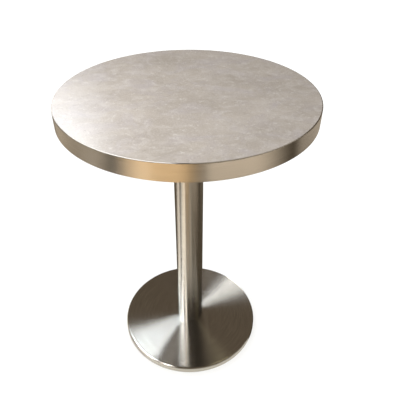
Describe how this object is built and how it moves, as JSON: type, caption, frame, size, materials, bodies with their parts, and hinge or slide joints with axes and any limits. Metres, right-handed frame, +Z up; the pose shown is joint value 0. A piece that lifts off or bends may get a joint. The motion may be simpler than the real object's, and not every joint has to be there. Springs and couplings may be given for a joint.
{
  "type": "round pedestal table",
  "caption": "Round restaurant table: stone-look laminate top with a steel edge band on a brushed stainless column and flat round base, with screw levelling feet.",
  "frame": {"origin": "on the floor, under the middle of the column", "axes": "+Z up along the column; the edge band's seam is on the +Y side"},
  "size_m": [0.6, 0.6, 0.78],
  "materials": {
    "stone_laminate": "satin",
    "backer_laminate": "matte",
    "chipboard": "raw",
    "brushed_stainless": "brushed",
    "black_powder_coat": "satin",
    "plain_steel": "turned",
    "zinc_plated_steel": "zinc plated",
    "cast_iron": "as cast, painted",
    "black_nylon": "moulded"
  },
  "bodies": {
    "table": {"top_laminate": "stone_laminate", "top_backer": "backer_laminate", "top_core": "chipboard", "edge_band": "brushed_stainless", "column_tube": "brushed_stainless", "base_cover": "brushed_stainless", "mounting_plate": "black_powder_coat", "plate_hub": "plain_steel", "column_foot_plug": "plain_steel", "plate_screws": "zinc_plated_steel", "tie_rod": "zinc_plated_steel", "tie_rod_washer": "zinc_plated_steel", "tie_rod_lock_washer": "zinc_plated_steel", "tie_rod_nut": "zinc_plated_steel", "base_weight": "cast_iron"},
    "foot_1_pad": {"foot_1_pad": "black_nylon"},
    "foot_1_stud": {"foot_1_stud": "zinc_plated_steel"},
    "foot_2_pad": {"foot_2_pad": "black_nylon"},
    "foot_2_stud": {"foot_2_stud": "zinc_plated_steel"},
    "foot_3_pad": {"foot_3_pad": "black_nylon"},
    "foot_3_stud": {"foot_3_stud": "zinc_plated_steel"},
    "foot_4_pad": {"foot_4_pad": "black_nylon"},
    "foot_4_stud": {"foot_4_stud": "zinc_plated_steel"}
  },
  "joints": [
    {"name": "foot_1_height", "type": "slide", "parent": "table", "child": "foot_1_pad", "axis": [0, 0, -1], "range_m": [-0.001, 0.004]},
    {"name": "foot_1_turn", "type": "hinge", "parent": "foot_1_pad", "child": "foot_1_stud", "pos_m": [0.11667, 0.11667, 0.006], "axis": [0, 0, -1], "range_deg": [-290, 1154]},
    {"name": "foot_2_height", "type": "slide", "parent": "table", "child": "foot_2_pad", "axis": [0, 0, -1], "range_m": [-0.001, 0.004]},
    {"name": "foot_2_turn", "type": "hinge", "parent": "foot_2_pad", "child": "foot_2_stud", "pos_m": [-0.11667, 0.11667, 0.006], "axis": [0, 0, -1], "range_deg": [-290, 1154]},
    {"name": "foot_3_height", "type": "slide", "parent": "table", "child": "foot_3_pad", "axis": [0, 0, -1], "range_m": [-0.001, 0.004]},
    {"name": "foot_3_turn", "type": "hinge", "parent": "foot_3_pad", "child": "foot_3_stud", "pos_m": [-0.11667, -0.11667, 0.006], "axis": [0, 0, -1], "range_deg": [-290, 1154]},
    {"name": "foot_4_height", "type": "slide", "parent": "table", "child": "foot_4_pad", "axis": [0, 0, -1], "range_m": [-0.001, 0.004]},
    {"name": "foot_4_turn", "type": "hinge", "parent": "foot_4_pad", "child": "foot_4_stud", "pos_m": [0.11667, -0.11667, 0.006], "axis": [0, 0, -1], "range_deg": [-290, 1154]}
  ],
  "couplings": [
    {"joint": "foot_1_turn", "follows": "foot_1_height", "rad_per_m": 5026.5},
    {"joint": "foot_2_turn", "follows": "foot_2_height", "rad_per_m": 5026.5},
    {"joint": "foot_3_turn", "follows": "foot_3_height", "rad_per_m": 5026.5},
    {"joint": "foot_4_turn", "follows": "foot_4_height", "rad_per_m": 5026.5}
  ]
}
